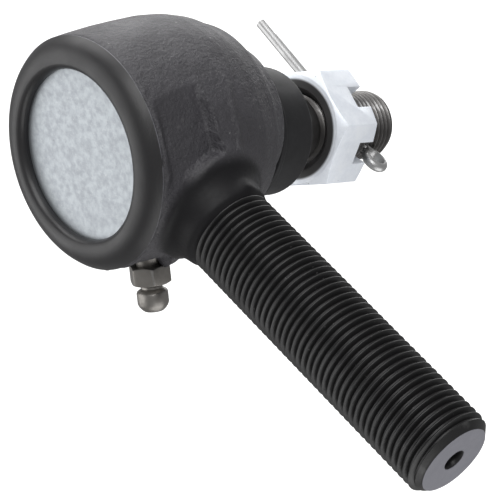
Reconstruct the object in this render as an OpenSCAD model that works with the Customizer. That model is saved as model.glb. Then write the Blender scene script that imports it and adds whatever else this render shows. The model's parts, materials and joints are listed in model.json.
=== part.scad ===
// Tie rod end: a ball stud in a forged housing with a threaded shank.
// Origin: the centre of the ball. +X runs along the shank, +Z through the end cap.
// The stud hangs down and leans a little towards -Y, as the joint lies when it is loose.

/* [Shank] */
// Shank thread, major diameter
shank_d = 19.05; // [16:0.05:23]
// Distance from the ball centre to the end of the shank
shank_reach = 99; // [82:0.2:122]
// Threaded length of the shank
thread_len = 68.4; // [50:0.2:69]
// Centre hole in the end of the shank, diameter
centre_hole_d = 4.5; // [2.5:0.1:7]

/* [Housing] */
// Largest diameter of the forged drum
drum_d = 50.4; // [48:0.1:62]
// Height of the rolled lip above the ball centre
lip_z = 18; // [17.6:0.1:22]
// Height of the cap's outer face above the ball centre
cap_face_z = 15.4; // [14.8:0.1:16]
// Depth of the shoulder face below the ball centre
shoulder_z = 26.6; // [24:0.1:29]

/* [Ball stud] */
// Ball diameter
ball_d = 27; // [25.4:0.1:28]
// Neck diameter between the ball and the taper
neck_d = 13.6; // [11:0.1:14]
// Stud thread, major diameter
stud_d = 15.875; // [14.2:0.005:16.5]
// Distance from the ball centre to the end of the stud
stud_reach = 76.8; // [70:0.2:93]
// Lean of the loose stud towards -Y, degrees
stud_lean = 11.4; // [0:0.1:11.6]
// Swing that the mouth allows in any direction, degrees
swing = 15.4; // [12:0.1:16]

/* [Nut and pin] */
// Slotted nut, width across its flats
nut_flats = 25.4; // [23.8:0.1:28]
// Slotted nut, height
nut_h = 12.9; // [10.8:0.1:15]
// Distance from the ball centre to the nut's near face
nut_z = 49.8; // [49.6:0.1:52]
// Cotter pin, diameter of the closed legs
pin_d = 2.4; // [2:0.1:3.2]
// Cotter pin, length of its longer leg from the stud's axis
pin_leg = 35; // [24:0.5:42]

/* [Boot and grease fitting] */
// Dust boot, diameter of its base rim
boot_base_d = 32; // [31.2:0.1:36]
// Dust boot, distance from the ball centre to its small end
boot_end_z = 39.7; // [38:0.1:46]
// Grease fitting, width across the flats of its hexagon
fitting_flats = 8; // [7:0.1:10]
// Direction of the grease fitting about the drum, degrees from the shank
fitting_angle = -56; // [-100:1:-50]

/* [Hidden] */
$fn = 96;

eps = 0.5;                              // how far a cutting tool runs past a face
running = 0.05;                         // radial clearance of a turning or sliding fit
gap = 0.3;                              // space between faces that pass each other

// Housing
shank_r = shank_d / 2;
drum_r = drum_d / 2;
rim_r = drum_r - 0.8;                   // edge of the turned rim
rim_z = lip_z - 3.1;
shank_chamfer = shank_r * 0.19;
neck_x = drum_r + 4.6;                  // least distance at which the thread can start
thread_x = max(shank_reach - thread_len, neck_x);
cap_t = 3.2;
cap_r = 19.5;
cap_bed_z = cap_face_z - cap_t;
lip_bore_r = 17.9;                      // inner edge of the lip over the cap
cavity_r = 17.9;
cavity_z = -9;                          // floor that the socket seat stands on
shoulder_r = 15.6;
mouth_top_r = 10.6;
mouth_r = neck_d / 2 / cos(swing) + shoulder_z * tan(swing) + gap;

// Ball stud
ball_r = ball_d / 2;
neck_r = neck_d / 2;
stud_r = stud_d / 2;
ball_flat_z = 7;
flare_z = 31;                           // where the taper starts, past the shoulder
flare_h = 1.2;                          // height of the step from the neck to the taper
taper_end_z = nut_z - 0.4;
taper_r = stud_r + (taper_end_z - flare_z) / 16;
stud_chamfer = 0.9;
pin_hole_z = stud_reach - 8.4;
pin_r = pin_d / 2;
pin_hole_r = pin_r + 0.2;
pin_angle = -7;                         // direction of the pin's eye about the stud
pin_eye_r = 2.3;

// Seats and spring
seat_r = ball_r + running;
socket_top_z = -1.6;
pressure_low_z = 2;
pressure_top_z = 9.9;
spring_t = 1.1;
spring_low_z = pressure_top_z + 0.02;
spring_top_z = cap_bed_z - 0.02;
spring_out_r = 15;
spring_in_r = 7;

// Dust boot, measured along the stud
boot_dish_r = 31.1;                     // sphere that its underside slides on
boot_base_r = boot_base_d / 2;
boot_end_r = boot_base_r - 1.8;
boot_wall = 2.1;
boot_rim_z = 27.3;
boot_band_z = 31;
boot_band_in = 0.7;
boot_lip_z = boot_end_z - 2.6;
ring_r = 10.6;
ring_z0 = boot_end_z - 2;
ring_z1 = boot_end_z + 0.3;

// Slotted nut
nut_r = nut_flats / 2;
nut_bore_r = stud_r + running;
nut_mouth_r = stud_r + 1.6;
nut_face_r = nut_r - 0.4;
nut_turn = 10;                          // direction of one slot about the stud
slot_w = 5.4;
slot_depth = 5;

// Grease fitting, measured outwards from the stud's axis
fitting_thread_r = 3.15;
fitting_in = 19.4;
fitting_z = 1.5;                        // height above the ball centre
fitting_hex_in = drum_r + 1.4;
fitting_hex_h = 4.1;
fitting_neck_r = 2.3;
fitting_head_r = 3.35;
fitting_head_in = fitting_hex_in + fitting_hex_h + 1.1;
fitting_tip = fitting_head_in + 4.9;
fitting_bore_r = 1.35;
fitting_mouth_r = 0.85;
check_ball_r = 1.2;
check_stop = fitting_tip - 0.9;
check_ball_x = check_stop - sqrt(pow(check_ball_r, 2) - pow(fitting_mouth_r, 2)) - 0.03;
check_bore_in = fitting_hex_in + 1;

steel_dark = [0.2, 0.19, 0.2];
steel = [0.55, 0.55, 0.57];
zinc = [0.75, 0.78, 0.82];
bronze = [0.6, 0.5, 0.3];
rubber = [0.1, 0.1, 0.11];

// Points along an arc about the origin, as [radius, height]
function arc(r, a0, a1, n = 10) = [
    for (i = [0:n]) let (a = a0 + (a1 - a0) * i / n) [r * cos(a), r * sin(a)]
];

// Half section of the drum's outer face, from the shoulder up to the lip
function drum_outline() = [
    [mouth_r + 0.1, -shoulder_z - 0.3],
    [shoulder_r - 0.5, -shoulder_z - 0.3],
    [shoulder_r, -shoulder_z],
    [shoulder_r + 1.4, -shoulder_z + 2.1],
    [shoulder_r + 3.6, -shoulder_z + 5.6],
    [drum_r - 3.3, -shoulder_z + 9.2],
    [drum_r - 1.6, -shoulder_z + 12.8],
    [drum_r - 0.4, -shoulder_z + 17],
    [drum_r, -5],
    [drum_r, 1],
    [drum_r - 0.1, 6],
    [drum_r - 0.4, 11],
    [rim_r + 0.2, rim_z - 0.5],
    [rim_r, rim_z],
    [rim_r - 0.8, rim_z + 1.3],
    [rim_r - 2.2, rim_z + 2.4],
    [rim_r - 4, rim_z + 3],
    [lip_bore_r + 0.5, lip_z],
    [lip_bore_r - 0.2, lip_z - 0.4],
];

// Puts a piece that is drawn along -Z onto the leaning stud
module on_stud() {
    rotate([-stud_lean, 0, 0]) children();
}

// Puts a piece that is drawn along +X onto the grease fitting's line
module on_fitting() {
    translate([0, 0, fitting_z]) rotate([0, 0, fitting_angle]) children();
}

// Turns a half section, drawn as [radius, distance], about the X axis
module turned_x() {
    rotate([0, 90, 0]) rotate_extrude() children();
}

module shank_blank() {
    turned_x() polygon([
        [0, 0],
        [drum_r * 0.62, 0],
        [drum_r * 0.62, drum_r - 3],
        [shank_r + 3.2, drum_r - 0.2],
        [shank_r + 1.5, drum_r + 1.6],
        [shank_r + 0.8, drum_r + 3.2],
        [shank_r + 0.6, thread_x - 0.8],
        [shank_r, thread_x],
        [shank_r, shank_reach - shank_chamfer],
        [shank_r - shank_chamfer, shank_reach],
        [0, shank_reach],
    ]);
}

module housing_cavity() {
    rotate_extrude() polygon([
        [0, -shoulder_z - 1],
        [mouth_r + 0.1, -shoulder_z - 1],
        [mouth_r, -shoulder_z],
        [mouth_top_r, cavity_z],
        [cavity_r, cavity_z],
        [cavity_r, cap_bed_z],
        [cap_r, cap_bed_z],
        [cap_r, cap_face_z],
        [lip_bore_r + 0.1, cap_face_z],
        [lip_bore_r - 0.2, lip_z - 0.4],
        [lip_bore_r - 0.2, lip_z + 1],
        [0, lip_z + 1],
    ]);
}

module housing() {
    color(steel_dark) difference() {
        union() {
            rotate_extrude() polygon(concat([[0, -shoulder_z - 0.3]], drum_outline(), [[0, lip_z - 0.4]]));
            shank_blank();
        }
        housing_cavity();
        translate([shank_reach - 6, 0, 0]) turned_x() polygon([
            [0, 0],
            [centre_hole_d / 2 - 0.6, 1],
            [centre_hole_d / 2, 2],
            [centre_hole_d / 2, 6 + eps],
            [0, 6 + eps],
        ]);
        on_fitting() translate([cavity_r - 2, 0, 0]) rotate([0, 90, 0])
            cylinder(h = drum_r - cavity_r + 4, r = fitting_thread_r);
    }
}

module end_cap() {
    color(zinc) rotate_extrude() polygon([
        [0, cap_bed_z],
        [cap_r, cap_bed_z],
        [cap_r, cap_face_z],
        [0, cap_face_z],
    ]);
}

module preload_spring() {
    color(steel) rotate_extrude() polygon([
        [spring_in_r, spring_top_z - spring_t],
        [spring_out_r, spring_low_z],
        [spring_out_r, spring_low_z + spring_t],
        [spring_in_r, spring_top_z],
    ]);
}

module pressure_seat() {
    top_angle = asin(pressure_top_z / seat_r);
    low_angle = asin(pressure_low_z / seat_r);
    color(bronze) rotate_extrude() polygon(concat(
        arc(seat_r + 0.02, top_angle, low_angle),
        [[cavity_r - running, pressure_low_z], [cavity_r - running, pressure_top_z]]
    ));
}

module socket_seat() {
    top_angle = asin(socket_top_z / seat_r);
    low_angle = asin(cavity_z / seat_r);
    color(bronze) rotate_extrude() polygon(concat(
        arc(seat_r + 0.02, low_angle, top_angle),
        [[cavity_r, socket_top_z], [cavity_r, cavity_z]]
    ));
}

module ball_stud() {
    neck_top_z = sqrt(pow(ball_r, 2) - pow(neck_r, 2)) - 0.6;
    color(steel) on_stud() difference() {
        union() {
            intersection() {
                sphere(r = ball_r);
                translate([0, 0, -ball_d]) cylinder(h = ball_d + ball_flat_z, r = ball_d);
            }
            rotate_extrude() polygon([
                [0, -neck_top_z],
                [neck_r, -neck_top_z],
                [neck_r, -flare_z + flare_h],
                [taper_r, -flare_z],
                [stud_r, -taper_end_z],
                [stud_r, -stud_reach + stud_chamfer],
                [stud_r - stud_chamfer, -stud_reach],
                [0, -stud_reach],
            ]);
        }
        rotate([0, 0, pin_angle]) translate([-stud_d, 0, -pin_hole_z]) rotate([0, 90, 0])
            cylinder(h = 2 * stud_d, r = pin_hole_r);
    }
}

module boot_ring() {
    ring_bore_r = stud_r + (taper_end_z - ring_z0) / 16 + running;
    color(steel) on_stud() rotate_extrude() polygon([
        [ring_bore_r, -ring_z0],
        [ring_r, -ring_z0],
        [ring_r, -ring_z1 + 0.4],
        [ring_r - 0.4, -ring_z1],
        [ring_bore_r, -ring_z1],
    ]);
}

module dust_boot() {
    inner_r = boot_base_r - boot_wall - 0.9;
    inner_end_r = boot_end_r - boot_wall;
    dish_angle = -acos(inner_r / boot_dish_r);
    rim_angle = -acos((boot_base_r - 0.6) / boot_dish_r);
    color(rubber) on_stud() rotate_extrude() polygon(concat(
        arc(boot_dish_r, dish_angle, rim_angle, 4),
        [
            [boot_base_r, -boot_rim_z],
            [boot_base_r, -boot_band_z + 0.4],
            [boot_base_r - 0.4, -boot_band_z],
            [boot_base_r - boot_band_in, -boot_band_z],
            [boot_end_r, -boot_end_z + 0.8],
            [boot_end_r - 0.8, -boot_end_z],
            [ring_r + running, -boot_end_z],
            [ring_r + running, -ring_z0 + running],
            [ring_r - 0.8, -ring_z0 + running],
            [ring_r - 0.8, -boot_lip_z],
            [inner_end_r, -boot_lip_z],
            [inner_r, -boot_band_z],
        ]
    ));
}

module nut_turned() {
    slope = tan(30);
    reach = nut_r / cos(30) - nut_face_r + 0.3;
    rotate_extrude() polygon([
        [nut_mouth_r, -nut_z],
        [nut_face_r, -nut_z],
        [nut_face_r + reach, -nut_z - reach * slope],
        [nut_face_r + reach, -nut_z - nut_h + reach * slope],
        [nut_face_r, -nut_z - nut_h],
        [nut_bore_r, -nut_z - nut_h],
        [nut_bore_r, -nut_z - 1.2],
    ]);
}

module castle_nut() {
    color(zinc) on_stud() rotate([0, 0, nut_turn]) difference() {
        intersection() {
            nut_turned();
            rotate([0, 0, 30]) translate([0, 0, -nut_z - nut_h - eps])
                cylinder(h = nut_h + 2 * eps, r = nut_r / cos(30), $fn = 6);
        }
        for (i = [0:2]) rotate([0, 0, 60 * i])
            translate([-nut_flats, -slot_w / 2, -nut_z - nut_h - eps])
            cube([2 * nut_flats, slot_w, slot_depth + eps]);
    }
}

// One leg of the cotter pin along -X, flat on its split, on the side that up points to
module pin_leg_half(leg, up) {
    split = 0.03;
    intersection() {
        translate([-leg, 0, 0]) rotate([0, 90, 0]) cylinder(h = leg + stud_r + 0.6, r = pin_r);
        translate([-leg - eps, -pin_d, up > 0 ? split : -pin_d])
            cube([leg + stud_r + 2, 2 * pin_d, pin_d - split]);
    }
}

module cotter_pin() {
    wire = pin_r - 0.05;
    color(zinc) on_stud() rotate([0, 0, pin_angle]) translate([0, 0, -pin_hole_z]) {
        pin_leg_half(pin_leg, -1);
        pin_leg_half(pin_leg - 5, 1);
        translate([stud_r + pin_eye_r + pin_r + 0.1, 0, 0]) rotate([90, 0, 0])
            rotate_extrude() translate([pin_eye_r, 0]) circle(r = wire);
    }
}

module grease_fitting() {
    color(steel) on_fitting() difference() {
        union() {
            turned_x() polygon([
                [0, fitting_in],
                [fitting_thread_r - 0.5, fitting_in],
                [fitting_thread_r, fitting_in + 0.5],
                [fitting_thread_r, fitting_hex_in - 1.2],
                [fitting_thread_r - 0.4, fitting_hex_in],
                [fitting_neck_r, fitting_hex_in + fitting_hex_h],
                [fitting_neck_r, fitting_head_in - 0.3],
                [fitting_head_r, fitting_head_in + 0.7],
                [fitting_head_r, fitting_tip - 1.5],
                [fitting_head_r - 0.9, fitting_tip - 0.3],
                [fitting_head_r - 1.4, fitting_tip],
                [0, fitting_tip],
            ]);
            intersection() {
                translate([fitting_hex_in, 0, 0]) rotate([0, 90, 0])
                    cylinder(h = fitting_hex_h, r = fitting_flats / 2 / cos(30), $fn = 6);
                turned_x() polygon([
                    [0, fitting_hex_in],
                    [fitting_flats / 2 - 0.1, fitting_hex_in],
                    [fitting_flats / 2 + 0.8, fitting_hex_in + 0.5],
                    [fitting_flats / 2 + 0.8, fitting_hex_in + fitting_hex_h - 0.5],
                    [fitting_flats / 2 - 0.1, fitting_hex_in + fitting_hex_h],
                    [0, fitting_hex_in + fitting_hex_h],
                ]);
            }
        }
        turned_x() polygon([
            [0, fitting_in - eps],
            [fitting_mouth_r, fitting_in - eps],
            [fitting_mouth_r, check_bore_in],
            [fitting_bore_r, check_bore_in],
            [fitting_bore_r, check_stop],
            [fitting_mouth_r, check_stop],
            [fitting_mouth_r, fitting_tip + eps],
            [0, fitting_tip + eps],
        ]);
    }
}

module grease_check_ball() {
    color(steel) on_fitting() translate([check_ball_x, 0, 0]) sphere(r = check_ball_r);
}

module grease_check_spring() {
    spring_outer_r = fitting_bore_r - 0.15;
    spring_inner_r = fitting_bore_r - 0.55;
    color(steel) on_fitting() turned_x() polygon([
        [spring_inner_r, check_bore_in + 0.02],
        [spring_outer_r, check_bore_in + 0.02],
        [spring_outer_r, check_ball_x - check_ball_r],
        [spring_inner_r, check_ball_x - check_ball_r],
    ]);
}

housing();
end_cap();
preload_spring();
pressure_seat();
socket_seat();
ball_stud();
boot_ring();
dust_boot();
castle_nut();
cotter_pin();
grease_fitting();
grease_check_ball();
grease_check_spring();
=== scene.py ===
import json
import math
import bpy
from mathutils import Matrix, Vector

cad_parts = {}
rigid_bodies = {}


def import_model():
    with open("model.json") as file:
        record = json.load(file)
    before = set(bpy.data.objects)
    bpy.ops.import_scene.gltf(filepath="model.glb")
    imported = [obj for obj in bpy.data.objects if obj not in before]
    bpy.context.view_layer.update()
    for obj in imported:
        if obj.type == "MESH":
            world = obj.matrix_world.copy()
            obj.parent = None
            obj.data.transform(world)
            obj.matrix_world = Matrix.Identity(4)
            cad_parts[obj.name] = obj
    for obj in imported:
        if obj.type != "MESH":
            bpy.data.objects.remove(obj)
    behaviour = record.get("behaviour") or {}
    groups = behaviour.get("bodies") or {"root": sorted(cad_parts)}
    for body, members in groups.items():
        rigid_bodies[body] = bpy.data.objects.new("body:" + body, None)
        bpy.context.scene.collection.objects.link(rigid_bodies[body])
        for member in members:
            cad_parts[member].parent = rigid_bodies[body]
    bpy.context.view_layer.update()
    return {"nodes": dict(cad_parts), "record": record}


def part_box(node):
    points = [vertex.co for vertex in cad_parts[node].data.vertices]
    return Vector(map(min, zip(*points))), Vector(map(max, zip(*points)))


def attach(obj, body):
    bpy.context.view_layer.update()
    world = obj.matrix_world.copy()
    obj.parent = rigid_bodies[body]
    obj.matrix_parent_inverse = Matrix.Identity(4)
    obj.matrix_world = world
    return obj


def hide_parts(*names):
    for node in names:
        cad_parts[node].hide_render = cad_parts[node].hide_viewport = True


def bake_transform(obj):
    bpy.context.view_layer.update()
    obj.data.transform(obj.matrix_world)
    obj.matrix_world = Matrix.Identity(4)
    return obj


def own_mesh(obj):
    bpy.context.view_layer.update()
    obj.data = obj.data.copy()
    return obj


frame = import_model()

MM = 0.001

# ---------------------------------------------------------------- sizes taken from the frame

MOUNTS = {m["name"]: m for m in frame["record"]["mounts"]}
HOUSING_LOW, HOUSING_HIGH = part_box("housing")
CAP_LOW, CAP_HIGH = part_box("end_cap")
DOWN = Vector(MOUNTS["stud_taper"]["axis"]).normalized()
LEAN = math.atan2(-DOWN.y, -DOWN.z)
FITTING_OUT = Vector(MOUNTS["grease_nipple"]["axis"]).normalized()
FITTING_TURN = math.atan2(FITTING_OUT.y, FITTING_OUT.x)
FITTING_Z = MOUNTS["grease_nipple"]["pos_m"][2]

SHANK_R = MOUNTS["shank_thread"]["dims"]["r_mm"] * MM
SHANK_END = HOUSING_HIGH[0]
SHANK_THREAD_START = MOUNTS["shank_thread"]["pos_m"][0] - MOUNTS["shank_thread"]["dims"]["length_mm"] * MM / 2
SHANK_PITCH = 1.5875 * MM
DRUM_R = HOUSING_HIGH[1]
LIP_Z = HOUSING_HIGH[2]
SHOULDER_Z = -HOUSING_LOW[2]
RIM_EDGE_Z = LIP_Z - 3.1 * MM
RIM_EDGE_R = DRUM_R - 0.8 * MM
CAP_FACE_Z = CAP_HIGH[2]
CAP_BED_Z = CAP_LOW[2]
CAP_R = CAP_HIGH[0]
LIP_BORE_R = 17.9 * MM

STUD_R = 15.875 / 2 * MM
STUD_PITCH = 1.4111 * MM
BALL_R = 13.5 * MM
BALL_FLAT_Z = 7 * MM
NECK_R = 6.8 * MM
STUD_REACH = 76.8 * MM
FLARE_Z = 31 * MM
TAPER_END_Z = 49.4 * MM
PIN_HOLE_Z = 68.4 * MM
PIN_R = 1.2 * MM
PIN_TURN = math.radians(-7)

NUT_R = 25.4 / 2 * MM
NUT_Z = 49.8 * MM
NUT_H = 12.9 * MM
NUT_TURN = math.radians(10)
SLOT_W = 5.4 * MM
SLOT_DEPTH = 5 * MM

BOOT_R = 16 * MM
BOOT_END_Z = 39.7 * MM
BOOT_RIM_Z = 27.3 * MM
BOOT_BAND_Z = 29.4 * MM
RING_R = 10.6 * MM

SPRING_OUT_R = 15 * MM
SPRING_IN_R = 7 * MM
SPRING_THICK = 1.1 * MM

ROUND = 128                              # steps round a turned piece

# ---------------------------------------------------------------- small helpers for modelling


def clear_selection():
    if bpy.context.mode != "OBJECT":
        bpy.ops.object.mode_set(mode="OBJECT")
    for other in bpy.context.scene.objects:
        other.select_set(False)


def pick(obj):
    clear_selection()
    obj.select_set(True)
    bpy.context.view_layer.objects.active = obj
    return obj


def edit(obj):
    pick(obj)
    bpy.ops.object.mode_set(mode="EDIT")
    bpy.ops.mesh.select_mode(type="VERT")
    bpy.ops.mesh.select_all(action="SELECT")


def leave_edit():
    bpy.ops.object.mode_set(mode="OBJECT")


def tidy_normals(obj, merge=0.004 * MM):
    edit(obj)
    bpy.ops.mesh.remove_doubles(threshold=merge)
    bpy.ops.mesh.select_all(action="SELECT")
    bpy.ops.mesh.normals_make_consistent(inside=False)
    leave_edit()
    return obj


def drawn_outline(name, points, closed=True):
    """A line drawn in the XZ plane from one corner to the next, starting from a single vertex."""
    clear_selection()
    bpy.ops.mesh.primitive_plane_add(size=1 * MM, location=(0, 0, 0))
    obj = bpy.context.object
    obj.name = name
    obj.data.name = name
    edit(obj)
    bpy.ops.mesh.merge(type="CENTER")
    start = Vector((points[0][0], 0, points[0][1]))
    bpy.ops.transform.translate(value=start)
    here = start
    for point in points[1:]:
        there = Vector((point[0], 0, point[1]))
        bpy.ops.mesh.extrude_region_move(TRANSFORM_OT_translate={"value": there - here})
        here = there
    if closed:
        bpy.ops.mesh.select_all(action="SELECT")
        leave_edit()
        count = len(obj.data.vertices)
        edit(obj)
        bpy.ops.mesh.select_all(action="DESELECT")
        leave_edit()
        obj.data.vertices[0].select = True
        obj.data.vertices[count - 1].select = True
        bpy.ops.object.mode_set(mode="EDIT")
        bpy.ops.mesh.edge_face_add()
    leave_edit()
    return obj


def turned(name, points, steps=ROUND, closed=True):
    """A solid of revolution about Z from a half section of (radius, height) corners."""
    obj = drawn_outline(name, points, closed)
    edit(obj)
    bpy.ops.mesh.spin(steps=steps, angle=2 * math.pi, center=(0, 0, 0), axis=(0, 0, 1))
    leave_edit()
    return tidy_normals(obj)


def arc_points(centre, radius, start, stop, count):
    """Corners along an arc in the half section, angles in degrees."""
    points = []
    for i in range(count + 1):
        a = math.radians(start + (stop - start) * i / count)
        points.append((centre[0] + radius * math.cos(a), centre[1] + radius * math.sin(a)))
    return points


def applied(obj, kind, **settings):
    """Adds a modifier, sets it and applies it."""
    pick(obj)
    modifier = obj.modifiers.new(kind.title(), kind)
    for key, value in settings.items():
        setattr(modifier, key, value)
    bpy.ops.object.modifier_apply(modifier=modifier.name)
    return obj


def carved(obj, tool, operation="DIFFERENCE"):
    """Cuts, joins or trims a piece with a tool body, which is used up."""
    applied(obj, "BOOLEAN", object=tool, operation=operation, solver="EXACT")
    bpy.data.objects.remove(tool)
    return obj


def rounded(obj, width, segments=3, angle=30):
    applied(
        obj, "BEVEL", width=width, segments=segments, limit_method="ANGLE",
        angle_limit=math.radians(angle), miter_outer="MITER_ARC", use_clamp_overlap=True,
    )
    return obj


def smooth(obj, angle=35):
    pick(obj)
    bpy.ops.object.shade_smooth_by_angle(angle=math.radians(angle))
    for modifier in list(obj.modifiers):
        bpy.ops.object.modifier_apply(modifier=modifier.name)
    return obj


def settled(obj):
    """Moves an object's place and turn into its mesh."""
    pick(obj)
    bpy.ops.object.transform_apply(location=True, rotation=True, scale=True)
    return obj


def turn_to_x(obj):
    """Lays a piece drawn along +Z down along +X."""
    obj.rotation_euler = (0, math.pi / 2, 0)
    return settled(obj)


def onto_stud(obj):
    """Puts a piece drawn along -Z onto the leaning stud."""
    obj.rotation_euler = (-LEAN, 0, 0)
    return settled(obj)


def onto_fitting(obj):
    """Puts a piece drawn along +X onto the grease fitting's line."""
    obj.rotation_euler = (0, 0, FITTING_TURN)
    obj.location = (0, 0, FITTING_Z)
    return settled(obj)


def cylinder(name, radius, low, high, sides=64, axis="Z"):
    clear_selection()
    bpy.ops.mesh.primitive_cylinder_add(
        vertices=sides, radius=radius, depth=high - low, location=(0, 0, (high + low) / 2)
    )
    obj = bpy.context.object
    obj.name = name
    settled(obj)
    if axis == "X":
        turn_to_x(obj)
    return obj


def block(name, low, high):
    clear_selection()
    middle = [(a + b) / 2 for a, b in zip(low, high)]
    bpy.ops.mesh.primitive_cube_add(size=1, location=middle)
    obj = bpy.context.object
    obj.name = name
    obj.scale = [b - a for a, b in zip(low, high)]
    return settled(obj)


def wire_mesh(name, curve):
    """Turns a wire drawn as a curve into a mesh."""
    obj = bpy.data.objects.new(name, curve)
    bpy.context.collection.objects.link(obj)
    pick(obj)
    bpy.ops.object.convert(target="MESH")
    return bpy.context.object


def radius_at(outline, height):
    """Radius of a half section, given as (radius, height) corners from low to high."""
    for (r0, z0), (r1, z1) in zip(outline, outline[1:]):
        if z0 <= height <= z1:
            return r0 + (r1 - r0) * (height - z0) / (z1 - z0)
    return outline[0][0] if height < outline[0][1] else outline[-1][0]


def helical_thread(name, major_r, pitch, outline, steps=72):
    """A right-hand V thread about Z, held inside a turned outline and cut flat at both ends."""
    low, high = outline[0][1], outline[-1][1]
    depth = 0.613 * pitch
    crest = pitch * 0.14
    root = pitch * 0.2
    root_r = major_r - depth
    start = low - 1.5 * pitch
    flank = (pitch - crest - root) / 2
    profile = [
        (root_r, start),
        (root_r, start + root),
        (root_r + depth * 0.5, start + root + flank * 0.5),
        (major_r - 0.05 * pitch, start + root + flank * 0.95),
        (major_r, start + root + flank + 0.2 * crest),
        (major_r, start + root + flank + 0.8 * crest),
        (major_r - 0.05 * pitch, start + root + flank * 1.05 + crest),
        (root_r + depth * 0.5, start + root + flank * 1.5 + crest),
        (root_r, start + pitch),
    ]
    obj = drawn_outline(name, profile, closed=False)
    turns = math.ceil((high - low) / pitch) + 3
    applied(
        obj, "SCREW", axis="Z", angle=2 * math.pi, screw_offset=pitch, iterations=turns,
        steps=steps, render_steps=steps, use_merge_vertices=True, merge_threshold=0.002 * MM,
    )
    tidy_normals(obj, 0.002 * MM)
    for vertex in obj.data.vertices:
        radius = math.hypot(vertex.co.x, vertex.co.y)
        limit = radius_at(outline, vertex.co.z)
        if radius > limit:
            vertex.co.x *= limit / radius
            vertex.co.y *= limit / radius
    for height, inner in ((low, True), (high, False)):
        edit(obj)
        bpy.ops.mesh.bisect(
            plane_co=(0, 0, height), plane_no=(0, 0, 1), threshold=0.0005 * MM,
            clear_inner=inner, clear_outer=not inner,
        )
        leave_edit()
    return tidy_normals(obj, 0.001 * MM)


def closed_end(obj, height, rings):
    """Carries the open end at this height inwards through rings of (radius, height) and closes it."""
    edit(obj)
    bpy.ops.mesh.select_all(action="DESELECT")
    leave_edit()
    rim = 0.0
    for vertex in obj.data.vertices:
        vertex.select = abs(vertex.co.z - height) < 0.003 * MM
        if vertex.select:
            rim = max(rim, math.hypot(vertex.co.x, vertex.co.y))
    for edge in obj.data.edges:
        edge.select = all(obj.data.vertices[i].select for i in edge.vertices)
    bpy.ops.object.mode_set(mode="EDIT")
    here, radius = height, rim
    for ring_r, ring_z in rings:
        bpy.ops.mesh.extrude_region_move(TRANSFORM_OT_translate={"value": (0, 0, ring_z - here)})
        size = ring_r / radius
        bpy.ops.transform.resize(value=(size, size, 1), center_override=(0, 0, ring_z))
        here, radius = ring_z, ring_r
    bpy.ops.mesh.merge(type="CENTER")
    leave_edit()
    return tidy_normals(obj, 0.001 * MM)


def finished(obj, body, material, nodes=()):
    """Gives a piece its material and its place in the table, and hides the CAD nodes that it stands for."""
    obj.data.materials.clear()
    obj.data.materials.append(material)
    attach(obj, body)
    if nodes:
        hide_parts(*nodes)
    return obj


# ---------------------------------------------------------------- effects shared by the materials


def new_group(name, inputs, outputs):
    group = bpy.data.node_groups.new(name, "ShaderNodeTree")
    for label, kind, value in inputs:
        socket = group.interface.new_socket(name=label, in_out="INPUT", socket_type=kind)
        socket.default_value = value
    for label, kind in outputs:
        group.interface.new_socket(name=label, in_out="OUTPUT", socket_type=kind)
    start = group.nodes.new("NodeGroupInput")
    end = group.nodes.new("NodeGroupOutput")
    return group, start, end


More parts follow.
